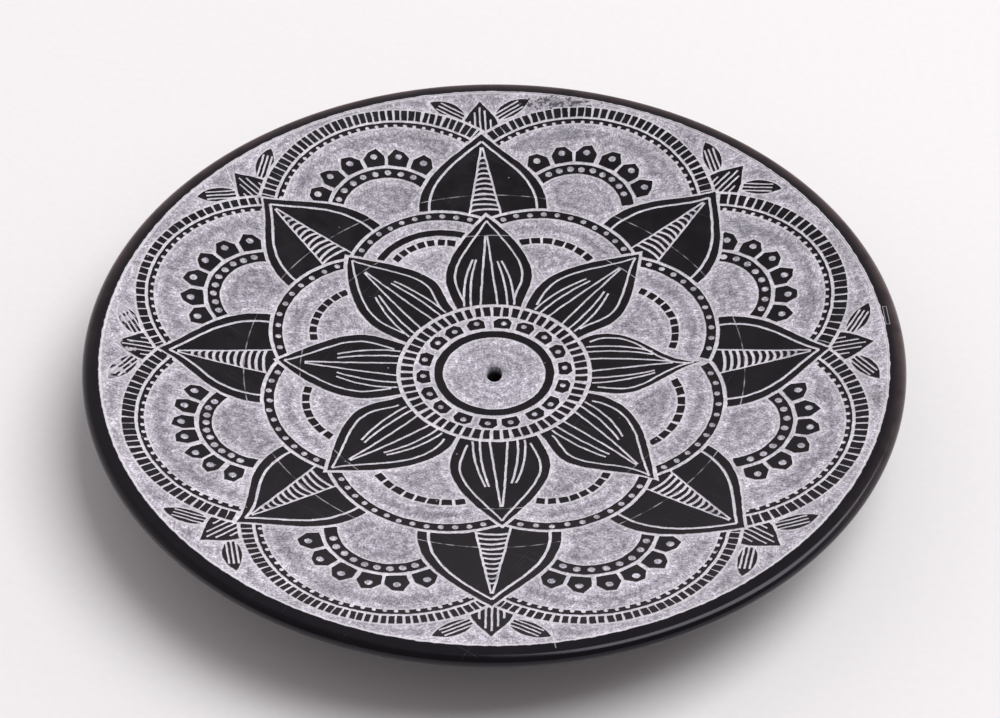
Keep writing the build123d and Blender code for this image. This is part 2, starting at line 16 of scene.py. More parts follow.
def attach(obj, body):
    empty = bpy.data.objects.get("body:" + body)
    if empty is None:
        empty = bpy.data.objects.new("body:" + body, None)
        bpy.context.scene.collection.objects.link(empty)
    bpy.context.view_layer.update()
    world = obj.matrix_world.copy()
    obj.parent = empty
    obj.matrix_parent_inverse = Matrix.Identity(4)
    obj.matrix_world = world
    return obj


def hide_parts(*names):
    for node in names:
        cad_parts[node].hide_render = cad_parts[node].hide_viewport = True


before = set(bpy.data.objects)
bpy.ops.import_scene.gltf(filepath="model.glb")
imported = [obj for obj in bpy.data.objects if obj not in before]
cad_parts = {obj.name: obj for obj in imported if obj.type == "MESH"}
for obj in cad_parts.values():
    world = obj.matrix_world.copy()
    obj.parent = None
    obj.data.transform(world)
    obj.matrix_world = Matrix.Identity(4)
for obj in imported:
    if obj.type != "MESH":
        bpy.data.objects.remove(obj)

LOG = logging.getLogger("incense_holder")
MM = 0.001
MERGE_GAP = 0.001 * MM
BODY = "root"

Point = tuple[float, float]
Place = tuple[float, float, float]
Colour = tuple[float, float, float, float]
Feed = float | tuple[float, ...] | bpy.types.NodeSocket

# Sockets of a Mix node that mixes colours.
MIX_SHARE, MIX_FIRST, MIX_SECOND, MIX_RESULT = 0, 6, 7, 2


class Cloud(NamedTuple):
    """A cloudy noise: features in a unit of length, finer layers, and how strong those are."""

    scale: float
    detail: float = 2.0
    rough: float = 0.5


class Ramp(NamedTuple):
    """A smooth rise: the values that it lies between, and the levels before and after it."""

    low: float
    high: float
    start: float = 0.0
    end: float = 1.0

    def moved(self, by: float) -> "Ramp":
        """Gives the same rise between values that are moved along."""
        return self._replace(low=self.low + by, high=self.high + by)


class Hairline(NamedTuple):
    """One direction of fine scratches: its angle, its stretch and where its noise shows."""

    angle: float
    stretch: Place
    shows: Ramp


class Socket(Enum):
    """The kinds of socket that the node groups have."""

    VECTOR = "NodeSocketVector"
    VALUE = "NodeSocketFloat"


class Slot(Enum):
    """The material slots of the record."""

    STONE = "stone"
    COAT = "coat"


class Mark(Enum):
    """The kinds of mark that are left standing in the coat, by the start of their names."""

    HUB = "hub"
    INNER_PETAL = "inner_petal"
    LADDER = "ladder_arc"
    BEADS = "bead_arc"
    OUTER_PETAL = "outer_petal"
    FAN = "scallop"
    ROPE = "rope_arc"
    SPRIG = "sprigs"


@dataclass(frozen=True)
class DishShape:
    """Sizes of the turned dish in millimetres; hollow and underside are parts of spheres."""

    field_radius: float = 52.6
    dish_depth: float = 6.05
    lip_width: float = 1.4
    edge_radius: float = 1.0
    floor_thickness: float = 6.95
    foot_radius: float = 27.0
    foot_height: float = 0.4
    hole_radius: float = 1.06
    hole_depth: float = 5.0
    lip_shares: tuple[float, ...] = (0.25, 0.5, 0.75, 0.94, 1.0)

    @property
    def rim_top(self) -> float:
        """Height of the lip."""
        return self.floor_thickness + self.dish_depth

    @property
    def lip_outer(self) -> float:
        """Radius at which the lip starts to turn down."""
        return self.field_radius + self.lip_width

    @property
    def edge_height(self) -> float:
        """Height of the middle of the round edge."""
        return self.rim_top - self.edge_radius

    @property
    def dish_radius(self) -> float:
        """Radius of the sphere of the hollow."""
        return (self.field_radius**2 + self.dish_depth**2) / (2 * self.dish_depth)

    @property
    def dish_centre(self) -> float:
        """Height of the middle of the sphere of the hollow."""
        return self.floor_thickness + self.dish_radius

    def hollow(self, radius: float, below: float = 0.0) -> float:
        """Gives the height of the hollow.

        Args:
            radius: Distance from the axis.
            below: How far the surface lies under the coat.

        Returns:
            The height above the surface that the dish stands on.
        """
        return self.dish_centre - math.sqrt((self.dish_radius + below) ** 2 - radius**2)

    def underside(self) -> Point:
        """Finds the sphere that runs from the foot to the round edge.

        Returns:
            The height of its middle, and its radius.
        """
        rise = self.edge_height - self.foot_height
        excess = self.foot_radius**2 + self.edge_radius**2 - self.lip_outer**2 - rise**2
        square = rise**2 - self.edge_radius**2
        root = math.sqrt(excess**2 + 4 * self.foot_radius**2 * square)
        centre = (self.edge_radius * root - excess * rise) / (2 * square)
        return self.foot_height + centre, math.hypot(self.foot_radius, centre)

    def outside(self, inset: float, belly_steps: int, edge_steps: int) -> list[Point]:
        """Gives the half section of the outside, from the foot up to the field.

        Args:
            inset: How far the line lies inside the outer surface.
            belly_steps: Number of points on the underside.
            edge_steps: Number of points round the edge.

        Returns:
            Radius and height of each point.
        """
        centre, radius = self.underside()
        radius -= inset
        round_edge = self.edge_radius - inset
        start = math.atan2(-math.sqrt(radius**2 - self.foot_radius**2), self.foot_radius)
        tangent = math.atan2(self.edge_height - centre, self.lip_outer)
        line = []
        for turn in np.linspace(start, tangent, belly_steps):
            line.append((radius * math.cos(turn), centre + radius * math.sin(turn)))
        for turn in np.linspace(tangent, math.pi / 2, edge_steps)[1:]:
            across = self.lip_outer + round_edge * math.cos(turn)
            line.append((across, self.edge_height + round_edge * math.sin(turn)))
        for share in self.lip_shares:
            line.append((self.lip_outer - share * self.lip_width, self.rim_top - inset))
        return line


def deselect_everything() -> None:
    """Leaves edit mode and selects nothing."""
    if bpy.context.object and bpy.context.object.mode != "OBJECT":
        bpy.ops.object.mode_set(mode="OBJECT")
    bpy.ops.object.select_all(action="DESELECT")


def make_active(piece: bpy.types.Object) -> None:
    """Selects one piece alone and makes it the active one.

    Args:
        piece: The piece.
    """
    deselect_everything()
    piece.select_set(True)
    bpy.context.view_layer.objects.active = piece


def settle(piece: bpy.types.Object, slot: Slot, finish: bpy.types.Material, *nodes: str) -> None:
    """Fixes a finished piece to the body and gives it its finish.

    Args:
        piece: The finished piece.
        slot: Not used.
        finish: The material that it is dressed with.
        nodes: The solids of the frame that it stands for.
    """
    piece.data.materials.clear()
    piece.data.materials.append(finish)
    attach(piece, BODY)
    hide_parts(*nodes)
    LOG.info("%s: %d faces", piece.name, len(piece.data.polygons))


@dataclass(frozen=True)
class Lathe:
    """Turns a half section round the upright axis."""

    steps: int
    smooth_angle: float = math.radians(35)

    def turn(self, name: str, section: list[Point]) -> bpy.types.Object:
        """Makes a closed piece.

        Args:
            name: Name of the piece.
            section: Radius and height of each point of the closed half section, in millimetres.

        Returns:
            The piece, with its place in its mesh.
        """
        deselect_everything()
        bpy.ops.mesh.primitive_circle_add(vertices=len(section), radius=MM)
        piece = bpy.context.object
        piece.name = name
        piece.data.name = name
        places = [(across * MM, 0.0, up * MM) for across, up in section]
        piece.data.vertices.foreach_set("co", np.array(places).ravel())
        screw = piece.modifiers.new("lathe", "SCREW")
        screw.axis = "Z"
        screw.angle = 2 * math.pi
        screw.steps = self.steps
        screw.render_steps = self.steps
        bpy.ops.object.modifier_apply(modifier=screw.name)
        bpy.ops.object.mode_set(mode="EDIT")
        bpy.ops.mesh.select_mode(type="VERT")
        bpy.ops.mesh.select_all(action="SELECT")
        bpy.ops.mesh.remove_doubles(threshold=MERGE_GAP)
        bpy.ops.mesh.delete_loose(use_verts=True, use_edges=True, use_faces=False)
        bpy.ops.mesh.select_all(action="SELECT")
        bpy.ops.mesh.normals_make_consistent(inside=False)
        bpy.ops.object.mode_set(mode="OBJECT")
        bpy.ops.object.shade_smooth_by_angle(angle=self.smooth_angle)
        return piece


@dataclass(frozen=True)
class StrayCut:
    """A straight slip of the cutter, from one place in plan to another, in millimetres."""

    start: Point
    end: Point
    half_width: float = 0.07

    @property
    def middle(self) -> Point:
        """The place halfway along."""
        return (self.start[0] + self.end[0]) / 2, (self.start[1] + self.end[1]) / 2

    @property
    def half_length(self) -> float:
        """Half of the length."""
        return math.dist(self.start, self.end) / 2

    @property
    def angle(self) -> float:
        """The direction in plan."""
        return math.atan2(self.end[1] - self.start[1], self.end[0] - self.start[0])


STRAY_CUTS = (
    StrayCut((-38.3, 35.5), (-36.1, 30.3)),
    StrayCut((7.0, -49.9), (7.5, -53.0)),
    StrayCut((52.78, 3.35), (52.62, 6.75), 0.05),
    StrayCut((53.3, 3.35), (53.12, 6.75), 0.05),
    StrayCut((52.74, 3.35), (53.34, 3.35), 0.05),
    StrayCut((52.58, 6.75), (53.16, 6.75), 0.05),
)


class NodeSheet:
    """A node tree, with short ways to place and join its nodes."""

    def __init__(self, tree: bpy.types.NodeTree) -> None:
        """Keeps the tree that the nodes go into."""
        self.tree = tree

    def node(self, kind: str, **settings: str | bool | int) -> bpy.types.Node:
        """Places a node.

        Args:
            kind: The node's type.
            settings: Values for its own properties.

        Returns:
            The node.
        """
        made = self.tree.nodes.new(kind)
        for name, value in settings.items():
            setattr(made, name, value)
        return made

    def feed(self, socket: bpy.types.NodeSocket, value: Feed) -> None:
        """Joins a socket to another one, or sets it to a constant.

        Args:
            socket: The socket that takes the value.
            value: The other socket, or the constant.
        """
        if isinstance(value, bpy.types.NodeSocket):
            self.tree.links.new(value, socket)
        else:
            socket.default_value = value

    def math(self, operation: str, first: Feed, second: Feed = 0.0) -> bpy.types.NodeSocket:
        """Places a Math node.

        Args:
            operation: What it works out.
            first: Its first input.
            second: Its second input.

        Returns:
            The result's socket.
        """
        made = self.node("ShaderNodeMath", operation=operation)
        self.feed(made.inputs[0], first)
        self.feed(made.inputs[1], second)
        return made.outputs[0]

    def product(self, first: Feed, *others: Feed) -> bpy.types.NodeSocket:
        """Multiplies values.

        Args:
            first: The first value.
            others: The values that it is multiplied by.

        Returns:
            The product's socket.
        """
        for other in others:
            first = self.math("MULTIPLY", first, other)
        return first

    def vector(
        self, operation: str, first: Feed, second: Feed = (0.0, 0.0, 0.0)
    ) -> bpy.types.Node:
        """Places a Vector Math node.

        Args:
            operation: What it works out.
            first: Its first input.
            second: Its second input.

        Returns:
            The node, which has a vector and a value to take.
        """
        made = self.node("ShaderNodeVectorMath", operation=operation)
        self.feed(made.inputs[0], first)
        self.feed(made.inputs[1], second)
        return made

    def rise(
        self, value: Feed, low: float, high: float, start: float = 0.0, end: float = 1.0
    ) -> bpy.types.NodeSocket:
        """Places a smooth rise from one level to another.

        Args:
            value: What is followed.
            low: Where the rise starts.
            high: Where it ends.
            start: The level before it.
            end: The level after it.

        Returns:
            The level's socket.
        """
        made = self.node("ShaderNodeMapRange", interpolation_type="SMOOTHSTEP")
        for socket, given in zip(made.inputs, (value, low, high, start, end)):
            self.feed(socket, given)
        return made.outputs[0]

    def mix(
        self, share: Feed, first: Feed, second: Feed, blend: str = "MIX"
    ) -> bpy.types.NodeSocket:
        """Places a mix of two colours.

        Args:
            share: How much of the second colour shows.
            first: The first colour.
            second: The second colour.
            blend: How they are mixed.

        Returns:
            The colour's socket.
        """
        made = self.node("ShaderNodeMix", data_type="RGBA", blend_type=blend, clamp_factor=True)
        self.feed(made.inputs[MIX_SHARE], share)
        self.feed(made.inputs[MIX_FIRST], first)
        self.feed(made.inputs[MIX_SECOND], second)
        return made.outputs[MIX_RESULT]

    def noise(
        self, place: Feed, scale: float, detail: float = 2.0, rough: float = 0.5
    ) -> bpy.types.NodeSocket:
        """Places a cloudy noise.

        Args:
            place: Where it is read.
            scale: Features in a unit of length.
            detail: How many finer layers it has.
            rough: How strong the finer layers are.

        Returns:
            The noise's socket, about 0.5 on average.
        """
        made = self.node("ShaderNodeTexNoise")
        self.feed(made.inputs["Vector"], place)
        made.inputs["Scale"].default_value = scale
        made.inputs["Detail"].default_value = detail
        made.inputs["Roughness"].default_value = rough
        return made.outputs[0]

    def cells(self, place: Feed, scale: float) -> bpy.types.Node:
        """Places a pattern of cells.

        Args:
            place: Where it is read.
            scale: Cells in a unit of length.

        Returns:
            The node, which has a distance, a colour and a place of each cell to take.
        """
        made = self.node("ShaderNodeTexVoronoi")
        self.feed(made.inputs["Vector"], place)
        made.inputs["Scale"].default_value = scale
        return made

    def turned(self, place: Feed, angle: Feed) -> bpy.types.NodeSocket:
        """Turns a place round the upright axis.

        Args:
            place: The place.
            angle: The angle in radians.

        Returns:
            The turned place's socket.
        """
        made = self.node("ShaderNodeVectorRotate", rotation_type="Z_AXIS")
        self.feed(made.inputs["Vector"], place)
        self.feed(made.inputs["Angle"], angle)
        return made.outputs[0]

    def bump(self, height: Feed, distance: float, strength: float) -> bpy.types.NodeSocket:
        """Places a bump.

        Args:
            height: The height that is followed.
            distance: How high a height of 1 stands, in millimetres.
            strength: How much of it shows.

        Returns:
            The normal's socket.
        """
        made = self.node("ShaderNodeBump")
        made.inputs["Distance"].default_value = distance * MM
        made.inputs["Strength"].default_value = strength
        self.feed(made.inputs["Height"], height)
        return made.outputs[0]

    def group(self, tree: bpy.types.NodeTree, **inputs: Feed) -> bpy.types.Node:
        """Places a node group.

        Args:
            tree: The group.
            inputs: Values for its inputs, by name.

        Returns:
            The group's node.
        """
        made = self.node("ShaderNodeGroup")
        made.node_tree = tree
        for name, value in inputs.items():
            self.feed(made.inputs[name], value)
        return made


StartedGroup = tuple[NodeSheet, bpy.types.Node, bpy.types.Node]


@dataclass
class Effects:
    """The node groups that the finishes share, with the sizes of their patterns."""

    shape: DishShape
    drift_scale: float = 0.35
    drift: Place = (4.0, 4.0, 0.0)
    patch_scale: float = 0.2
    stroke_lean: Ramp = Ramp(0.0, 1.0, -0.9, 0.9)
    stroke_stretch: Place = (0.7, 4.2, 1.0)
    stroke_cloud: Cloud = Cloud(1.0, 3.0, 0.7)
    speckle_cloud: Cloud = Cloud(3.4, 2.0, 0.8)
    mottle_cloud: Cloud = Cloud(1.3, 3.0, 0.7)
    hairlines: tuple[Hairline, Hairline] = (
        Hairline(0.6, (0.1, 4.6, 1.0), Ramp(0.69, 0.74)),
        Hairline(-1.0, (0.16, 6.0, 1.0), Ramp(0.71, 0.76)),
    )
    hairline_cloud: Cloud = Cloud(1.0, 1.0)
    scratched_cloud: Cloud = Cloud(0.12, 1.0)
    scratched: Ramp = Ramp(0.42, 0.6)
    mote_scale: float = 0.42
    mote_level: float = 0.72
    mote_size: Ramp = Ramp(0.03, 0.06, 1.0, 0.0)
    slip_edge: tuple[float, float] = (0.6, 1.4)
    place: bpy.types.NodeTree = field(init=False)
    scrapes: bpy.types.NodeTree = field(init=False)
    scratches: bpy.types.NodeTree = field(init=False)
    slips: bpy.types.NodeTree = field(init=False)

    def __post_init__(self) -> None:
        """Builds each group once."""
        self.place = self.build_place()
        self.scrapes = self.build_scrapes()
        self.scratches = self.build_scratches()
        self.slips = self.build_slips()

    @staticmethod
    def start(name: str, inputs: dict[str, Socket], outputs: dict[str, Socket]) -> StartedGroup:
        """Starts a node group.

        Args:
            name: The group's name.
            inputs: Its inputs and their kinds.
            outputs: Its outputs and their kinds.

        Returns:
            The sheet to place nodes on, and the group's input and output nodes.
        """
        tree = bpy.data.node_groups.new(name, "ShaderNodeTree")
        for socket, kind in inputs.items():
            tree.interface.new_socket(name=socket, in_out="INPUT", socket_type=kind.value)
        for socket, kind in outputs.items():
            tree.interface.new_socket(name=socket, in_out="OUTPUT", socket_type=kind.value)
        sheet = NodeSheet(tree)
        return sheet, sheet.node("NodeGroupInput"), sheet.node("NodeGroupOutput")

    def build_place(self) -> bpy.types.NodeTree:
        """Builds the place on the dish, in millimetres.

        Returns:
            The group, which gives the plan, the distance from the axis and the depth below the
            coat.
        """
        outputs = {"Plan": Socket.VECTOR, "Radius": Socket.VALUE, "Depth": Socket.VALUE}
        sheet, _, out = self.start("dish_place", {}, outputs)
        here = sheet.node("ShaderNodeTexCoord").outputs["Object"]
        scaled = sheet.vector("MULTIPLY", here, (1 / MM, 1 / MM, 1 / MM)).outputs[0]
        plan = sheet.vector("MULTIPLY", scaled, (1.0, 1.0, 0.0)).outputs[0]
        sheet.feed(out.inputs["Plan"], plan)
        sheet.feed(out.inputs["Radius"], sheet.vector("LENGTH", plan).outputs["Value"])
        from_centre = sheet.vector("SUBTRACT", scaled, (0.0, 0.0, self.shape.dish_centre))
        reach = sheet.vector("LENGTH", from_centre.outputs[0]).outputs["Value"]
        sheet.feed(out.inputs["Depth"], sheet.math("SUBTRACT", reach, self.shape.dish_radius))
        return sheet.tree

    def build_scrapes(self) -> bpy.types.NodeTree:
        """Builds the marks of the scraper.

        Returns:
            The group, which gives fine strokes that run about outwards in each patch, a speckle
            and mottling.
        """
        inputs = {"Plan": Socket.VECTOR}
        outputs = {"Strokes": Socket.VALUE, "Speckle": Socket.VALUE, "Mottle": Socket.VALUE}
        sheet, given, out = self.start("hand_scrapes", inputs, outputs)
        plan = given.outputs["Plan"]
        drift = sheet.node("ShaderNodeTexNoise")
        sheet.feed(drift.inputs["Vector"], plan)
        drift.inputs["Scale"].default_value = self.drift_scale
        shift = sheet.vector("MULTIPLY", drift.outputs["Color"], self.drift).outputs[0]
        patch = sheet.cells(sheet.vector("ADD", plan, shift).outputs[0], self.patch_scale)
        shade = sheet.node("ShaderNodeSeparateColor")
        sheet.feed(shade.inputs[0], patch.outputs["Color"])
        middle = sheet.node("ShaderNodeSeparateXYZ")
        sheet.feed(middle.inputs[0], patch.outputs["Position"])
        outwards = sheet.math("ARCTAN2", middle.outputs["Y"], middle.outputs["X"])
        lean = sheet.rise(shade.outputs[0], *self.stroke_lean)
        turned = sheet.turned(plan, sheet.math("SUBTRACT", lean, outwards))
        along = sheet.vector("MULTIPLY", turned, self.stroke_stretch).outputs[0]
        sheet.feed(out.inputs["Strokes"], sheet.noise(along, *self.stroke_cloud))
        sheet.feed(out.inputs["Speckle"], sheet.noise(plan, *self.speckle_cloud))
        sheet.feed(out.inputs["Mottle"], sheet.noise(plan, *self.mottle_cloud))
        return sheet.tree

    def build_scratches(self) -> bpy.types.NodeTree:
        """Builds the wear of the surface.

        Returns:
            The group, which gives hairline scratches in two directions, and dust.
        """
        inputs = {"Plan": Socket.VECTOR}
        outputs = {"Scratches": Socket.VALUE, "Dust": Socket.VALUE}
        sheet, given, out = self.start("fine_scratches", inputs, outputs)
        plan = given.outputs["Plan"]
        lines = []
        for line in self.hairlines:
            turned = sheet.turned(plan, line.angle)
            along = sheet.vector("MULTIPLY", turned, line.stretch).outputs[0]
            lines.append(sheet.rise(sheet.noise(along, *self.hairline_cloud), *line.shows))
        both = sheet.math("MAXIMUM", *lines)
        where = sheet.rise(sheet.noise(plan, *self.scratched_cloud), *self.scratched)
        sheet.feed(out.inputs["Scratches"], sheet.math("MULTIPLY", both, where))
        motes = sheet.cells(plan, self.mote_scale)
        shade = sheet.node("ShaderNodeSeparateColor")
        sheet.feed(shade.inputs[0], motes.outputs["Color"])
        few = sheet.math("GREATER_THAN", shade.outputs[0], self.mote_level)
        size = sheet.rise(motes.outputs["Distance"], *self.mote_size)
        sheet.feed(out.inputs["Dust"], sheet.math("MULTIPLY", few, size))
        return sheet.tree

    def build_slips(self) -> bpy.types.NodeTree:
        """Builds the stray cuts.

        Returns:
            The group, which gives a mask of thin straight lines.
        """
        inputs, outputs = {"Plan": Socket.VECTOR}, {"Cut": Socket.VALUE}
        sheet, given, out = self.start("stray_cuts", inputs, outputs)
        total = 0.0
        for cut in STRAY_CUTS:
            moved = sheet.vector("SUBTRACT", given.outputs["Plan"], (*cut.middle, 0.0)).outputs[0]
            parts = sheet.node("ShaderNodeSeparateXYZ")
            sheet.feed(parts.inputs[0], sheet.turned(moved, -cut.angle))
            along = sheet.math("ABSOLUTE", parts.outputs["X"])
            across = sheet.math("ABSOLUTE", parts.outputs["Y"])
            inner, outer = (share * cut.half_width for share in self.slip_edge)
            near = sheet.rise(across, inner, outer, 1.0, 0.0)
            end = cut.half_length
            within = sheet.rise(along, end, end + cut.half_width, 1.0, 0.0)
            total = sheet.math("MAXIMUM", sheet.math("MULTIPLY", near, within), total)
        sheet.feed(out.inputs["Cut"], total)
        return sheet.tree


def new_material(name: str) -> tuple[bpy.types.Material, NodeSheet, bpy.types.Node]:
    """Starts a material.

    Args:
        name: The material's name.

    Returns:
        The material, the sheet to place nodes on, and its Principled BSDF.
    """
    material = bpy.data.materials.new(name)
    material.use_nodes = True
    return material, NodeSheet(material.node_tree), material.node_tree.nodes["Principled BSDF"]


@dataclass(frozen=True)
class CutStone:
    """Finish of the bare stone: grey where the ground is scraped, pale along each cut line, with
    shade painted inside the hole.

    A ramp that follows a gap, a radius or a depth lies between lengths in millimetres, and the
    others lie between levels of noise.
    """

    gap_attribute: str = "edge_gap"
    ground_dark: Colour = (0.38, 0.365, 0.415, 1.0)
    ground_light: Colour = (0.48, 0.46, 0.515, 1.0)
    cut_line: Colour = (0.785, 0.76, 0.82, 1.0)
    # Painted shade: near black, laid inside the hole where little light gets in.
    hole_shade: Colour = (0.012, 0.011, 0.012, 1.0)
    speck: Colour = (0.10, 0.095, 0.11, 1.0)
    broad_cloud: Cloud = Cloud(0.45, 3.0, 0.6)
    wandering: Ramp = Ramp(0.3, 0.7, -0.5, 0.5)
    ground_reach: Ramp = Ramp(0.4, 1.8)
    raggedness: Ramp = Ramp(0.3, 0.7, -0.16, 0.16)
    line_reach: Ramp = Ramp(0.14, 0.42, 1.0, 0.0)
    line_evenness: float = 0.6
    grain: Ramp = Ramp(0.34, 0.66, 0.62, 1.4)
    scoring: Ramp = Ramp(0.34, 0.66, 0.78, 1.22)
    mottling: Ramp = Ramp(0.34, 0.66, 0.76, 1.26)
    pass_width: float = 1.7
    pass_wander: float = 2.5
    passing: Ramp = Ramp(-1.0, 1.0, 0.87, 1.12)
    patch_cloud: Cloud = Cloud(0.16, 3.0, 0.6)
    patching: Ramp = Ramp(0.35, 0.65, 0.84, 1.16)
    pad: Ramp = Ramp(5.5, 7.0, 1.16, 1.0)
    scratching: Ramp = Ramp(0.0, 1.0, 1.0, 0.6)
    speck_place: Point = (9.0, 50.6)
    speck_reach: Point = (9.0, 1.9)
    thinning: Ramp = Ramp(0.3, 1.0, 0.14, 0.0)
    speckling: Ramp = Ramp(0.62, 0.68)
    speck_border: Ramp = Ramp(0.0, 0.03)
    mouth: Ramp = Ramp(0.25, 1.4)
    hole_end: Ramp = Ramp(5.6, 6.2, 1.0, 0.0)
    hole_side: Ramp = Ramp(1.7, 1.9, 1.0, 0.0)
    roughness: Ramp = Ramp(0.2, 0.8, 0.7, 0.95)
    specular: float = 0.25
    bump_height: float = 0.05
    bump_strength: float = 0.8
    bump_speckle: float = 0.6

    def make(self, effects: Effects) -> bpy.types.Material:
        """Makes the material.

        Args:
            effects: The shared node groups.

        Returns:
            The material.
        """
        material, sheet, shader = new_material("cut_stone")
        place = sheet.group(effects.place)
        plan = place.outputs["Plan"]
        marks = sheet.group(effects.scrapes, Plan=plan)
        strokes, speckle = marks.outputs["Strokes"], marks.outputs["Speckle"]
        wear = sheet.group(effects.scratches, Plan=plan)
        gap = sheet.node("ShaderNodeAttribute", attribute_name=self.gap_attribute).outputs["Fac"]
        broad = sheet.noise(plan, *self.broad_cloud)
        worked = sheet.math("ADD", gap, sheet.rise(broad, *self.wandering))
        scraped = sheet.rise(worked, *self.ground_reach)
        colour = sheet.mix(scraped, self.ground_light, self.ground_dark)
        ragged = sheet.math("ADD", gap, sheet.rise(speckle, *self.raggedness))
        slip = sheet.group(effects.slips, Plan=plan).outputs["Cut"]
        line = sheet.math("MAXIMUM", sheet.rise(ragged, *self.line_reach), slip)
        colour = sheet.mix(line, colour, self.cut_line)
        shade = sheet.product(
            sheet.rise(speckle, *self.grain),
            sheet.rise(strokes, *self.scoring),
            sheet.rise(marks.outputs["Mottle"], *self.mottling),
            self.passes(sheet, gap, broad),
            sheet.rise(sheet.noise(plan, *self.patch_cloud), *self.patching),
            sheet.rise(place.outputs["Radius"], *self.pad),
            sheet.rise(wear.outputs["Scratches"], *self.scratching),
        )
        evened = sheet.product(sheet.math("SUBTRACT", 1.0, shade), line, self.line_evenness)
        shaded = sheet.vector("SCALE", colour)
        sheet.feed(shaded.inputs["Scale"], sheet.math("ADD", shade, evened))
        specks = self.specks(sheet, plan, marks.outputs["Mottle"])
        colour = sheet.mix(specks, shaded.outputs[0], self.speck)
        # Painted shade inside the hole.
        colour = sheet.mix(self.inside_hole(sheet, place), colour, self.hole_shade)
        sheet.feed(shader.inputs["Base Color"], colour)
        sheet.feed(shader.inputs["Roughness"], sheet.rise(speckle, *self.roughness))
        shader.inputs["Specular IOR Level"].default_value = self.specular
        height = sheet.math("ADD", strokes, sheet.math("MULTIPLY", speckle, self.bump_speckle))
        normal = sheet.bump(height, self.bump_height, self.bump_strength)
        sheet.feed(shader.inputs["Normal"], normal)
        return material

    def passes(
        self, sheet: NodeSheet, gap: bpy.types.NodeSocket, broad: bpy.types.NodeSocket
    ) -> bpy.types.NodeSocket:
        """Shades the passes of the scraper, which follow the outlines.

        Args:
            sheet: The sheet to place nodes on.
            gap: The distance from the nearest outline.
            broad: The noise that the passes wander by.

        Returns:
            The shade's socket.
        """
        wander = sheet.math("ADD", gap, sheet.math("MULTIPLY", broad, self.pass_wander))
        turn = sheet.math("MULTIPLY", wander, 2 * math.pi / self.pass_width)
        return sheet.rise(sheet.math("SINE", turn), *self.passing)

    def specks(
        self, sheet: NodeSheet, plan: bpy.types.NodeSocket, mottle: bpy.types.NodeSocket
    ) -> bpy.types.NodeSocket:
        """Masks the specks of coat that are left in one place near the rim.

        Args:
            sheet: The sheet to place nodes on.
            plan: The place in plan.
            mottle: The noise that shapes the specks.

        Returns:
            The mask's socket.
        """
        moved = sheet.vector("SUBTRACT", plan, (*self.speck_place, 0.0)).outputs[0]
        spread = sheet.vector("DIVIDE", moved, (*self.speck_reach, 1.0)).outputs[0]
        thinned = sheet.rise(sheet.vector("LENGTH", spread).outputs["Value"], *self.thinning)
        shown = sheet.rise(sheet.math("ADD", mottle, thinned), *self.speckling)
        return sheet.math("MULTIPLY", shown, sheet.rise(thinned, *self.speck_border))

    def inside_hole(self, sheet: NodeSheet, place: bpy.types.Node) -> bpy.types.NodeSocket:
        """Masks the inside of the hole, under its mouth, where shade is painted, darker further
        down.

        Args:
            sheet: The sheet to place nodes on.
            place: The node that gives the place on the dish.

        Returns:
            The mask's socket.
        """
        depth = place.outputs["Depth"]
        along = sheet.product(sheet.rise(depth, *self.mouth), sheet.rise(depth, *self.hole_end))
        return sheet.product(along, sheet.rise(place.outputs["Radius"], *self.hole_side))


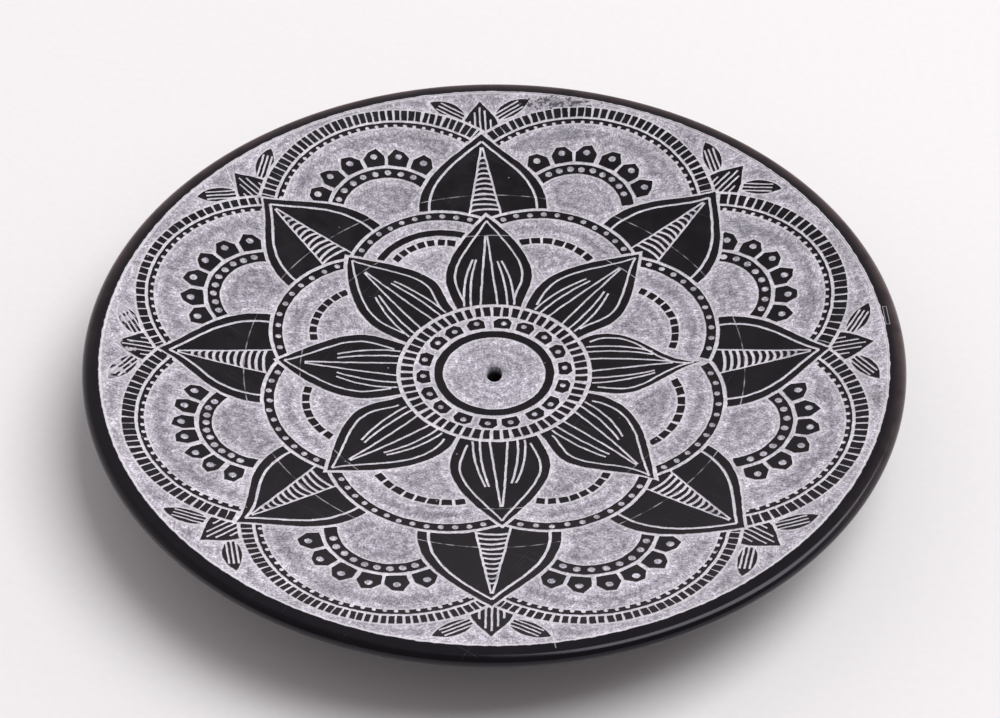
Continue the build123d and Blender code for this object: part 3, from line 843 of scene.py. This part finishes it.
@dataclass(frozen=True)
class BlackCoat:
    """Finish of the marks that are left standing: a dark rubbed top with pale cut sides.

    A guide radius gives the scribed circle that crosses the mark, and a bare place is where the
    coat is half rubbed away, both in millimetres.
    """

    name: str
    guide_radius: float | None = None
    bare_place: Point | None = None
    top: Colour = (0.0022, 0.0018, 0.0024, 1.0)
    # On the marks this colour is only rubbed patches of the coat.
    rubbed_and_reflection: Colour = (0.0045, 0.0037, 0.0047, 1.0)
    scratch: Colour = (0.06, 0.057, 0.063, 1.0)
    dust: Colour = (0.3, 0.29, 0.31, 1.0)
    side: Colour = (0.70, 0.67, 0.73, 1.0)
    bare: Colour = (0.50, 0.48, 0.535, 1.0)
    sheen: Colour = (0.92, 0.84, 1.0, 1.0)
    cloud: Cloud = Cloud(0.3, 3.0)
    rubbing: Ramp = Ramp(0.35, 0.7)
    scratch_share: float = 0.5
    guide_line: Ramp = Ramp(0.035, 0.105, 1.0, 0.0)
    guide_cloud: Cloud = Cloud(0.6, 2.0)
    guide_hold: Ramp = Ramp(0.38, 0.65, 0.05, 0.55)
    bare_reach: Ramp = Ramp(6.3, 9.0, 1.0, 0.0)
    bare_cloud: Cloud = Cloud(0.8, 2.0, 0.5)
    bare_tips: Ramp = Ramp(47.2, 51.0, -0.2, 0.05)
    baring: Ramp = Ramp(0.46, 0.54)
    chipping: Ramp = Ramp(0.4, 0.8, 0.0, 0.02)
    side_depth: Ramp = Ramp(0.045, 0.075)
    roughness: Ramp = Ramp(0.3, 0.7, 0.2, 0.3)
    specular: float = 0.3
    bump_height: float = 0.01
    bump_strength: float = 0.35

    def make(self, effects: Effects) -> bpy.types.Material:
        """Makes the material.

        Args:
            effects: The shared node groups.

        Returns:
            The material.
        """
        material, sheet, shader = new_material(self.name)
        place = sheet.group(effects.place)
        plan, radius = place.outputs["Plan"], place.outputs["Radius"]
        wear = sheet.group(effects.scratches, Plan=plan)
        scratches = wear.outputs["Scratches"]
        marks = sheet.group(effects.scrapes, Plan=plan)
        cloud = sheet.noise(plan, *self.cloud)
        colour = sheet.mix(sheet.rise(cloud, *self.rubbing), self.top, self.rubbed_and_reflection)
        colour = sheet.mix(sheet.product(scratches, self.scratch_share), colour, self.scratch)
        colour = sheet.mix(wear.outputs["Dust"], colour, self.dust)
        if self.guide_radius is not None:
            colour = sheet.mix(self.guide(sheet, plan, radius), colour, self.side)
        if self.bare_place is not None:
            colour = sheet.mix(self.rubbed_away(sheet, plan, radius), colour, self.bare)
        slip = sheet.group(effects.slips, Plan=plan).outputs["Cut"]
        colour = sheet.mix(slip, colour, self.side)
        chips = sheet.rise(marks.outputs["Speckle"], *self.chipping)
        chipped = sheet.math("ADD", place.outputs["Depth"], chips)
        colour = sheet.mix(sheet.rise(chipped, *self.side_depth), colour, self.side)
        sheet.feed(shader.inputs["Base Color"], colour)
        sheet.feed(shader.inputs["Roughness"], sheet.rise(cloud, *self.roughness))
        shader.inputs["Specular IOR Level"].default_value = self.specular
        shader.inputs["Specular Tint"].default_value = self.sheen
        height = sheet.math("SUBTRACT", cloud, scratches)
        normal = sheet.bump(height, self.bump_height, self.bump_strength)
        sheet.feed(shader.inputs["Normal"], normal)
        return material

    def guide(
        self, sheet: NodeSheet, plan: bpy.types.NodeSocket, radius: bpy.types.NodeSocket
    ) -> bpy.types.NodeSocket:
        """Masks the scribed circle, which is held better in some places than in others.

        Args:
            sheet: The sheet to place nodes on.
            plan: The place in plan.
            radius: The distance from the axis.

        Returns:
            The mask's socket.
        """
        away = sheet.math("ABSOLUTE", sheet.math("SUBTRACT", radius, self.guide_radius))
        hold = sheet.rise(sheet.noise(plan, *self.guide_cloud), *self.guide_hold)
        return sheet.math("MULTIPLY", sheet.rise(away, *self.guide_line), hold)

    def rubbed_away(
        self, sheet: NodeSheet, plan: bpy.types.NodeSocket, radius: bpy.types.NodeSocket
    ) -> bpy.types.NodeSocket:
        """Masks the patches that are rubbed away round the bare place, mostly towards the rim.

        Args:
            sheet: The sheet to place nodes on.
            plan: The place in plan.
            radius: The distance from the axis.

        Returns:
            The mask's socket.
        """
        away = sheet.vector("DISTANCE", plan, (*self.bare_place, 0.0)).outputs["Value"]
        to_tips = sheet.rise(radius, *self.bare_tips)
        patches = sheet.math("ADD", sheet.noise(plan, *self.bare_cloud), to_tips)
        return sheet.product(sheet.rise(away, *self.bare_reach), sheet.rise(patches, *self.baring))


@dataclass(frozen=True)
class RimPolish:
    """Finish of the rim: smoother than the marks, with a brown reflection painted on the outer
    edge at the back, chipped at the field.

    The edge of the painted brown reflection is measured from the lip's outer side, and the chipped
    edge from the field.
    """

    top: Colour = (0.0016, 0.0015, 0.0022, 1.0)
    # Painted reflection: the brown that the back of the outer edge shows from the bright
    # background.
    rubbed_and_reflection: Colour = (0.074, 0.050, 0.048, 1.0)
    scratch: Colour = (0.03, 0.029, 0.033, 1.0)
    chip: Colour = (0.74, 0.71, 0.77, 1.0)
    sheen: Colour = (0.90, 0.86, 1.0, 1.0)
    cloud: Cloud = Cloud(0.25, 3.0)
    reflection_way: Place = (0.25, 1.0, 0.0)
    reflection_back: Ramp = Ramp(-30.0, 25.0)
    reflection_patches: Ramp = Ramp(0.3, 0.6, 0.45, 1.0)
    reflection_edge: Ramp = Ramp(-1.0, 0.45)
    reflection_depth: Ramp = Ramp(1.2, 1.8, 1.0, 0.0)
    scratch_share: float = 0.5
    dust_share: float = 0.6
    nibble_cloud: Cloud = Cloud(0.8, 2.0, 0.5)
    nibbling: Ramp = Ramp(0.35, 0.75, 0.0, 0.12)
    chipped_edge: Ramp = Ramp(0.02, 0.14, 1.0, 0.0)
    chipped_depth: Ramp = Ramp(0.3, 0.5, 1.0, 0.0)
    slip_share: float = 0.4
    roughness: Ramp = Ramp(0.3, 0.7, 0.14, 0.22)
    specular: float = 0.33
    bump_height: float = 0.01
    bump_strength: float = 0.3

    def make(self, effects: Effects, shape: DishShape) -> bpy.types.Material:
        """Makes the material.

        Args:
            effects: The shared node groups.
            shape: The sizes of the dish.

        Returns:
            The material.
        """
        material, sheet, shader = new_material("rim_polish")
        place = sheet.group(effects.place)
        plan, radius = place.outputs["Plan"], place.outputs["Radius"]
        depth = place.outputs["Depth"]
        wear = sheet.group(effects.scratches, Plan=plan)
        scratches, dust = wear.outputs["Scratches"], wear.outputs["Dust"]
        cloud = sheet.noise(plan, *self.cloud)
        # Painted reflection: brown on the outer edge, strongest at the back, broken up by the
        # cloud.
        to_back = sheet.vector("DOT_PRODUCT", plan, self.reflection_way).outputs["Value"]
        painted_reflection = sheet.product(
            sheet.rise(to_back, *self.reflection_back),
            sheet.rise(cloud, *self.reflection_patches),
            sheet.rise(radius, *self.reflection_edge.moved(shape.lip_outer)),
            sheet.rise(depth, *self.reflection_depth),
        )
        colour = sheet.mix(painted_reflection, self.top, self.rubbed_and_reflection)
        colour = sheet.mix(sheet.product(scratches, self.scratch_share), colour, self.scratch)
        colour = sheet.mix(sheet.product(dust, self.dust_share), colour, self.scratch)
        nibbles = sheet.rise(sheet.noise(plan, *self.nibble_cloud), *self.nibbling)
        nibbled = sheet.math("SUBTRACT", radius, nibbles)
        inner = sheet.rise(nibbled, *self.chipped_edge.moved(shape.field_radius))
        slip = sheet.group(effects.slips, Plan=plan).outputs["Cut"]
        bared = sheet.math("MAXIMUM", inner, sheet.math("MULTIPLY", slip, self.slip_share))
        on_top = sheet.rise(depth, *self.chipped_depth)
        colour = sheet.mix(sheet.math("MULTIPLY", bared, on_top), colour, self.chip)
        sheet.feed(shader.inputs["Base Color"], colour)
        sheet.feed(shader.inputs["Roughness"], sheet.rise(cloud, *self.roughness))
        shader.inputs["Specular IOR Level"].default_value = self.specular
        shader.inputs["Specular Tint"].default_value = self.sheen
        height = sheet.math("SUBTRACT", cloud, scratches)
        normal = sheet.bump(height, self.bump_height, self.bump_strength)
        sheet.feed(shader.inputs["Normal"], normal)
        return material


@dataclass
class CoatMarks:
    """The black marks: each is a copy of its solid, with outlines that waver as if cut by hand.

    Lengths are in millimetres. The waver's size differs a little in the two directions.
    """

    shape: DishShape
    divisions: tuple[int, ...] = (3, 1, 1)
    longest_edge: float = 0.28
    waver_size: float = 1.1
    waver_shares: tuple[tuple[str, float], ...] = (("X", 1.0), ("Y", 1.31))
    waver_layers: int = 4
    waver_amount: float = 0.2
    sharp: float = math.radians(40)
    upward: float = 0.7
    upper_depth: float = 0.1
    dot_round: float = 3.4
    inner_guide: float = 26.2
    outer_guide: float = 33.7
    bare_sprig: Point = (-49.5, 1.0)
    pieces: list[bpy.types.Object] = field(default_factory=list)

    def build(self, effects: Effects) -> None:
        """Makes and dresses every mark.

        Args:
            effects: The shared node groups.
        """
        plain = BlackCoat("black_coat").make(effects)
        inner = BlackCoat("black_coat_inner", self.inner_guide)
        outer = BlackCoat("black_coat_outer", self.outer_guide)
        sprig = BlackCoat("black_coat_sprig", bare_place=self.bare_sprig)
        finishes = {
            Mark.INNER_PETAL: inner.make(effects),
            Mark.OUTER_PETAL: outer.make(effects),
            Mark.SPRIG: sprig.make(effects),
        }
        clouds = self.clouds()
        for mark in Mark:
            for name in sorted(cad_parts):
                if not name.startswith(mark.value):
                    continue
                piece = self.copy_of(name)
                self.divide_outline(piece)
                self.waver(piece, clouds)
                self.face_the_hollow(piece)
                settle(piece, Slot.COAT, finishes.get(mark, plain), name)
                self.pieces.append(piece)

    def copy_of(self, name: str) -> bpy.types.Object:
        """Makes a merged copy of a solid's mesh.

        Args:
            name: Name of the solid.

        Returns:
            The copy, which is the active piece.
        """
        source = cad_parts[name]
        piece = bpy.data.objects.new(f"black_{name}", source.data.copy())
        bpy.context.scene.collection.objects.link(piece)
        make_active(piece)
        bpy.ops.object.mode_set(mode="EDIT")
        bpy.ops.mesh.select_all(action="SELECT")
        bpy.ops.mesh.remove_doubles(threshold=MERGE_GAP)
        bpy.ops.object.mode_set(mode="OBJECT")
        return piece

    def divide_outline(self, piece: bpy.types.Object) -> None:
        """Divides the long edges of the outlines, so that they can waver.

        Args:
            piece: The mark.
        """
        bpy.ops.object.mode_set(mode="EDIT")
        bpy.ops.mesh.select_mode(type="EDGE")
        for times in self.divisions:
            longest = self.longest_edge * MM * (times + 1) / 2
            mesh = bmesh.from_edit_mesh(piece.data)
            for edge in mesh.edges:
                bend = edge.calc_face_angle(0.0) if len(edge.link_faces) == 2 else 0.0
                edge.select = bend > self.sharp and edge.calc_length() > longest
            mesh.select_flush_mode()
            bmesh.update_edit_mesh(piece.data)
            bpy.ops.mesh.subdivide(number_cuts=times)
        bpy.ops.object.mode_set(mode="OBJECT")

    def clouds(self) -> dict[str, bpy.types.Texture]:
        """Makes the two cloudy fields that push the outlines sideways.

        Returns:
            The field for each direction.
        """
        made = {}
        for axis, share in self.waver_shares:
            cloud = bpy.data.textures.new(f"waver_{axis}", "CLOUDS")
            cloud.noise_scale = self.waver_size * share * MM
            cloud.noise_depth = self.waver_layers
            made[axis] = cloud
        return made

    def waver(self, piece: bpy.types.Object, clouds: dict[str, bpy.types.Texture]) -> None:
        """Pushes the outlines of a mark sideways and smooths its top.

        Args:
            piece: The mark.
            clouds: The field for each direction.
        """
        for axis, cloud in clouds.items():
            push = piece.modifiers.new(f"waver_{axis}", "DISPLACE")
            push.texture = cloud
            push.texture_coords = "LOCAL"
            push.direction = axis
            push.strength = self.waver_amount * MM
            push.mid_level = 0.5
            bpy.ops.object.modifier_apply(modifier=push.name)
        bpy.ops.object.shade_smooth_by_angle(angle=self.sharp)

    def face_the_hollow(self, piece: bpy.types.Object) -> None:
        """Shades the top of a mark as part of the smooth hollow.

        Args:
            piece: The mark.
        """
        mesh = piece.data
        places = np.empty(3 * len(mesh.vertices))
        mesh.vertices.foreach_get("co", places)
        corners = np.empty(len(mesh.loops), dtype=int)
        mesh.loops.foreach_get("vertex_index", corners)
        shading = np.empty(3 * len(mesh.loops))
        mesh.corner_normals.foreach_get("vector", shading)
        shading = shading.reshape(-1, 3)
        centre = np.array((0.0, 0.0, self.shape.dish_centre * MM))
        inward = centre - places.reshape(-1, 3)[corners]
        inward /= np.linalg.norm(inward, axis=1)[:, None]
        upward = [face.normal.z > self.upward for face in mesh.polygons]
        facing = np.repeat(upward, [face.loop_total for face in mesh.polygons])
        shading[facing] = inward[facing]
        mesh.normals_split_custom_set(shading)

    def outline_points(self, spacing: float = 0.15) -> np.ndarray:
        """Gives points along the upper outline of every mark, without the drilled dots.

        Args:
            spacing: Distance between points in millimetres.

        Returns:
            An array of places in metres.
        """
        centre = Vector((0, 0, self.shape.dish_centre * MM))
        lowest = (self.shape.dish_radius + self.upper_depth) * MM
        points = []
        for piece in self.pieces:
            mesh = bmesh.new()
            mesh.from_mesh(piece.data)
            upper = set()
            for edge in mesh.edges:
                sharp = len(edge.link_faces) == 2 and edge.calc_face_angle(0.0) > self.sharp
                if sharp and all((vertex.co - centre).length < lowest for vertex in edge.verts):
                    upper.add(edge)
            for loop in self.loops(upper):
                if sum(edge.calc_length() for edge in loop) < self.dot_round * MM:
                    continue
                for edge in loop:
                    first, last = (vertex.co.copy() for vertex in edge.verts)
                    count = 1 + int(edge.calc_length() / (spacing * MM))
                    points.extend(first.lerp(last, step / count) for step in range(count))
            mesh.free()
        return np.array(points)

    @staticmethod
    def loops(edges: set[bmesh.types.BMEdge]) -> list[list[bmesh.types.BMEdge]]:
        """Sorts edges into chains that hang together.

        Args:
            edges: The edges.

        Returns:
            The edges of each chain.
        """
        left = set(edges)
        chains = []
        while left:
            chain = [left.pop()]
            for edge in chain:
                for vertex in edge.verts:
                    beside = [other for other in vertex.link_edges if other in left]
                    left.difference_update(beside)
                    chain.extend(beside)
            chains.append(chain)
        return chains


@dataclass
class StoneBody:
    """The stone: the scraped ground of the dish, the hole for the stick, and the bare foot.

    Lengths are in millimetres. The points of the mouth lie outwards from the hole and down from
    the ground.
    """

    shape: DishShape
    cut_depth: float = 0.1
    solid_cut_depth: float = 0.25
    mouth_points: tuple[Point, ...] = ((0.0, 0.25), (0.04, 0.08))
    mouth_width: float = 0.16
    mouth_reach: float = 3.0
    mouth_full: float = 1.4
    mouth_below: float = 0.3
    mouth_stretch: float = 1.34
    rim_gap_share: float = 1.3
    ground_rings: int = 138
    lathe: Lathe = Lathe(560)
    rim_inset: float = 0.3
    belly_steps: int = 12
    edge_steps: int = 6
    foot_share: float = 0.6

    def section(self) -> list[Point]:
        """Draws the half section, from the hole over the ground and the outside to the foot.

        Returns:
            Radius and height of each point.
        """
        shape = self.shape
        hole = shape.hole_radius
        mouth = shape.hollow(hole, self.cut_depth)
        bottom = shape.floor_thickness - self.solid_cut_depth - shape.hole_depth
        line = [(0.0, bottom), (hole, bottom), (hole, 0.5 * (bottom + mouth))]
        line.extend((hole + across, mouth - down) for across, down in self.mouth_points)
        ground = np.linspace(hole + self.mouth_width, shape.field_radius, self.ground_rings)
        for radius in ground:
            line.append((float(radius), shape.hollow(radius, self.cut_depth)))
        line.extend(reversed(shape.outside(self.rim_inset, self.belly_steps, self.edge_steps)))
        line.append((shape.foot_radius, 0.0))
        line.append((self.foot_share * shape.foot_radius, 0.0))
        line.append((0.0, 0.0))
        return line

    def build(self, effects: Effects, outlines: np.ndarray) -> bpy.types.Object:
        """Makes and dresses the stone.

        Args:
            effects: The shared node groups.
            outlines: Points along the outlines of the black marks.

        Returns:
            The piece.
        """
        finish = CutStone()
        piece = self.lathe.turn("stone_body", self.section())
        self.wear_mouth(piece)
        self.write_gaps(piece, outlines, finish.gap_attribute)
        settle(piece, Slot.STONE, finish.make(effects), "stone_disc")
        return piece

    def wear_mouth(self, piece: bpy.types.Object) -> None:
        """Widens the mouth of the hole to the front and the back, as leaning sticks rub it.

        Args:
            piece: The stone.
        """
        lowest = self.shape.hollow(0.0, self.cut_depth) - self.mouth_below
        for vertex in piece.data.vertices:
            away = math.hypot(vertex.co.x, vertex.co.y) / MM
            if away < self.mouth_reach and vertex.co.z / MM > lowest:
                share = (self.mouth_reach - away) / (self.mouth_reach - self.mouth_full)
                share = min(1.0, share)
                vertex.co.y *= 1 + (self.mouth_stretch - 1) * share

    def write_gaps(self, piece: bpy.types.Object, outlines: np.ndarray, name: str) -> None:
        """Writes how far each point of the stone lies from the nearest cut line, in millimetres.

        Args:
            piece: The stone.
            outlines: Points along the outlines of the black marks.
            name: Name of the attribute.
        """
        tree = KDTree(len(outlines))
        for number, point in enumerate(outlines):
            tree.insert(point, number)
        tree.balance()
        gaps = []
        for vertex in piece.data.vertices:
            _, _, distance = tree.find(vertex.co)
            to_rim = abs(self.shape.field_radius * MM - math.hypot(vertex.co.x, vertex.co.y))
            gaps.append(min(distance, self.rim_gap_share * to_rim) / MM)
        piece.data.attributes.new(name, "FLOAT", "POINT").data.foreach_set("value", gaps)


@dataclass
class Rim:
    """The polished rim: the lip, the round edge and the underside out to the foot."""

    shape: DishShape
    lathe: Lathe = Lathe(360)
    thickness: float = 0.2
    outer_steps: tuple[int, int] = (40, 22)
    inner_steps: tuple[int, int] = (14, 8)

    def build(self, effects: Effects) -> bpy.types.Object:
        """Makes and dresses the rim.

        Args:
            effects: The shared node groups.

        Returns:
            The piece.
        """
        outer = self.shape.outside(0.0, *self.outer_steps)
        inner = self.shape.outside(self.thickness, *self.inner_steps)
        piece = self.lathe.turn("rim_skin", [*outer, *reversed(inner)])
        settle(piece, Slot.COAT, RimPolish().make(effects, self.shape), "rim_coat")
        return piece


@dataclass(frozen=True)
class Studio:
    """The floor, the light and the camera, with places and distances in metres."""

    floor_colour: Colour = (0.95, 0.94, 0.945, 1.0)
    floor_size: float = 4.0
    floor_height: float = -0.02 * MM
    tooth_cloud: Cloud = Cloud(900.0, 2.0)
    tooth: Ramp = Ramp(0.3, 0.7, 0.985, 1.0)
    floor_roughness: float = 0.9
    floor_specular: float = 0.1
    sky_low: Colour = (1.02, 0.95, 0.97, 1.0)
    sky_high: Colour = (0.34, 0.32, 0.33, 1.0)
    sky_front: Colour = (0.25, 0.23, 0.24, 1.0)
    sky_climb: Ramp = Ramp(0.1, 1.0)
    sky_behind: Ramp = Ramp(-0.6, 0.4)
    lamp_turn: float = math.radians(74)
    lamp_height: float = math.radians(64)
    lamp_distance: float = 2.2
    lamp_side: float = 1.6
    lamp_power: float = 36.0
    camera_place: Place = (0.00077, -0.2730, 0.2784)
    camera_tilt: float = math.radians(45.45)
    camera_lens: float = 102.4
    sensor_width: float = 36.0
    nearest: float = 0.01

    def build(self) -> None:
        """Makes the floor, the light and the camera."""
        self.build_floor()
        self.build_light()
        self.build_camera()

    def build_floor(self) -> None:
        """Makes a plain pale floor with a faint tooth."""
        deselect_everything()
        middle = (0.0, 0.0, self.floor_height)
        bpy.ops.mesh.primitive_plane_add(size=self.floor_size, location=middle)
        floor = bpy.context.object
        floor.name = "studio_floor"
        material, sheet, shader = new_material("floor_paper")
        here = sheet.node("ShaderNodeTexCoord").outputs["Object"]
        tooth = sheet.rise(sheet.noise(here, *self.tooth_cloud), *self.tooth)
        grey = sheet.node("ShaderNodeCombineColor")
        for socket in grey.inputs[:3]:
            sheet.feed(socket, tooth)
        colour = sheet.mix(1.0, self.floor_colour, grey.outputs[0], "MULTIPLY")
        sheet.feed(shader.inputs["Base Color"], colour)
        shader.inputs["Roughness"].default_value = self.floor_roughness
        shader.inputs["Specular IOR Level"].default_value = self.floor_specular
        floor.data.materials.append(material)

    def build_light(self) -> None:
        """Makes a soft sky and one large lamp from behind on the right."""
        world = bpy.data.worlds.new("studio")
        world.use_nodes = True
        sheet = NodeSheet(world.node_tree)
        way = sheet.node("ShaderNodeTexCoord").outputs["Generated"]
        parts = sheet.node("ShaderNodeSeparateXYZ")
        sheet.feed(parts.inputs[0], way)
        climb = sheet.rise(parts.outputs["Z"], *self.sky_climb)
        behind = sheet.mix(climb, self.sky_low, self.sky_high)
        turn = sheet.rise(parts.outputs["Y"], *self.sky_behind)
        colour = sheet.mix(turn, self.sky_front, behind)
        sheet.feed(world.node_tree.nodes["Background"].inputs["Color"], colour)
        bpy.context.scene.world = world
        lamp = bpy.data.lights.new("soft_lamp", "AREA")
        lamp.size = self.lamp_side
        lamp.energy = self.lamp_power
        holder = bpy.data.objects.new("soft_lamp", lamp)
        away = Vector((
            math.sin(self.lamp_turn) * math.cos(self.lamp_height),
            math.cos(self.lamp_turn) * math.cos(self.lamp_height),
            math.sin(self.lamp_height),
        ))
        holder.location = away * self.lamp_distance
        holder.rotation_euler = away.to_track_quat("Z", "Y").to_euler()
        bpy.context.scene.collection.objects.link(holder)

    def build_camera(self) -> None:
        """Makes the camera that looks down on the dish from the front."""
        camera = bpy.data.cameras.new("camera")
        camera.lens = self.camera_lens
        camera.sensor_width = self.sensor_width
        camera.sensor_fit = "HORIZONTAL"
        camera.clip_start = self.nearest
        holder = bpy.data.objects.new("camera", camera)
        holder.location = self.camera_place
        holder.rotation_euler = (self.camera_tilt, 0.0, 0.0)
        bpy.context.scene.collection.objects.link(holder)
        bpy.context.scene.camera = holder
        bpy.context.scene.view_settings.view_transform = "Standard"


def main() -> None:
    """Builds the pieces in order."""
    logging.basicConfig(level=logging.INFO, format="%(name)s %(message)s")
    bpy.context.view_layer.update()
    shape = DishShape()
    effects = Effects(shape)
    marks = CoatMarks(shape)
    marks.build(effects)
    StoneBody(shape).build(effects, marks.outline_points())
    Rim(shape).build(effects)
    Studio().build()
    deselect_everything()


if __name__ == "__main__":
    main()
